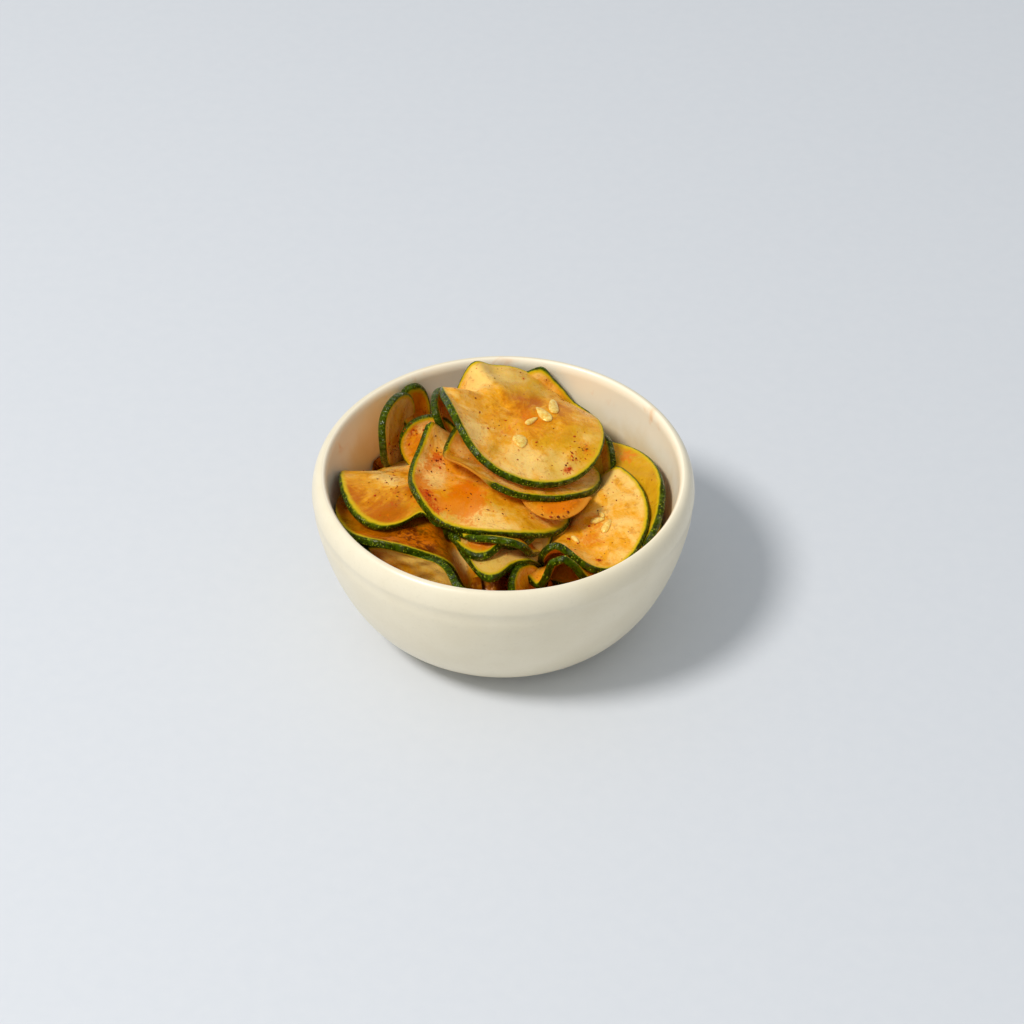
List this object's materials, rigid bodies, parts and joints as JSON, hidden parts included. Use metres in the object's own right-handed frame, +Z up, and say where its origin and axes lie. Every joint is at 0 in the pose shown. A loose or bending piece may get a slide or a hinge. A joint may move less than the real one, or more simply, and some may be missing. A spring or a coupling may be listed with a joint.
{
  "type": "bowl of marinated zucchini",
  "caption": "Small round cream glazed bowl heaped with thin, wavy, overlapping round slices of marinated zucchini in a spiced oil marinade",
  "frame": {"origin": "the middle of the bowl's underside, on the surface it stands on", "axes": "+Z up along the bowl's axis of turning, -Y toward the near side that the picture shows, +X to its right"},
  "size_m": [0.11, 0.11, 0.0605],
  "materials": {
    "glaze": "satin",
    "zucchini": null
  },
  "bodies": {
    "root": {"bowl": "glaze", "zucchini_heap": "zucchini"}
  },
  "joints": []
}
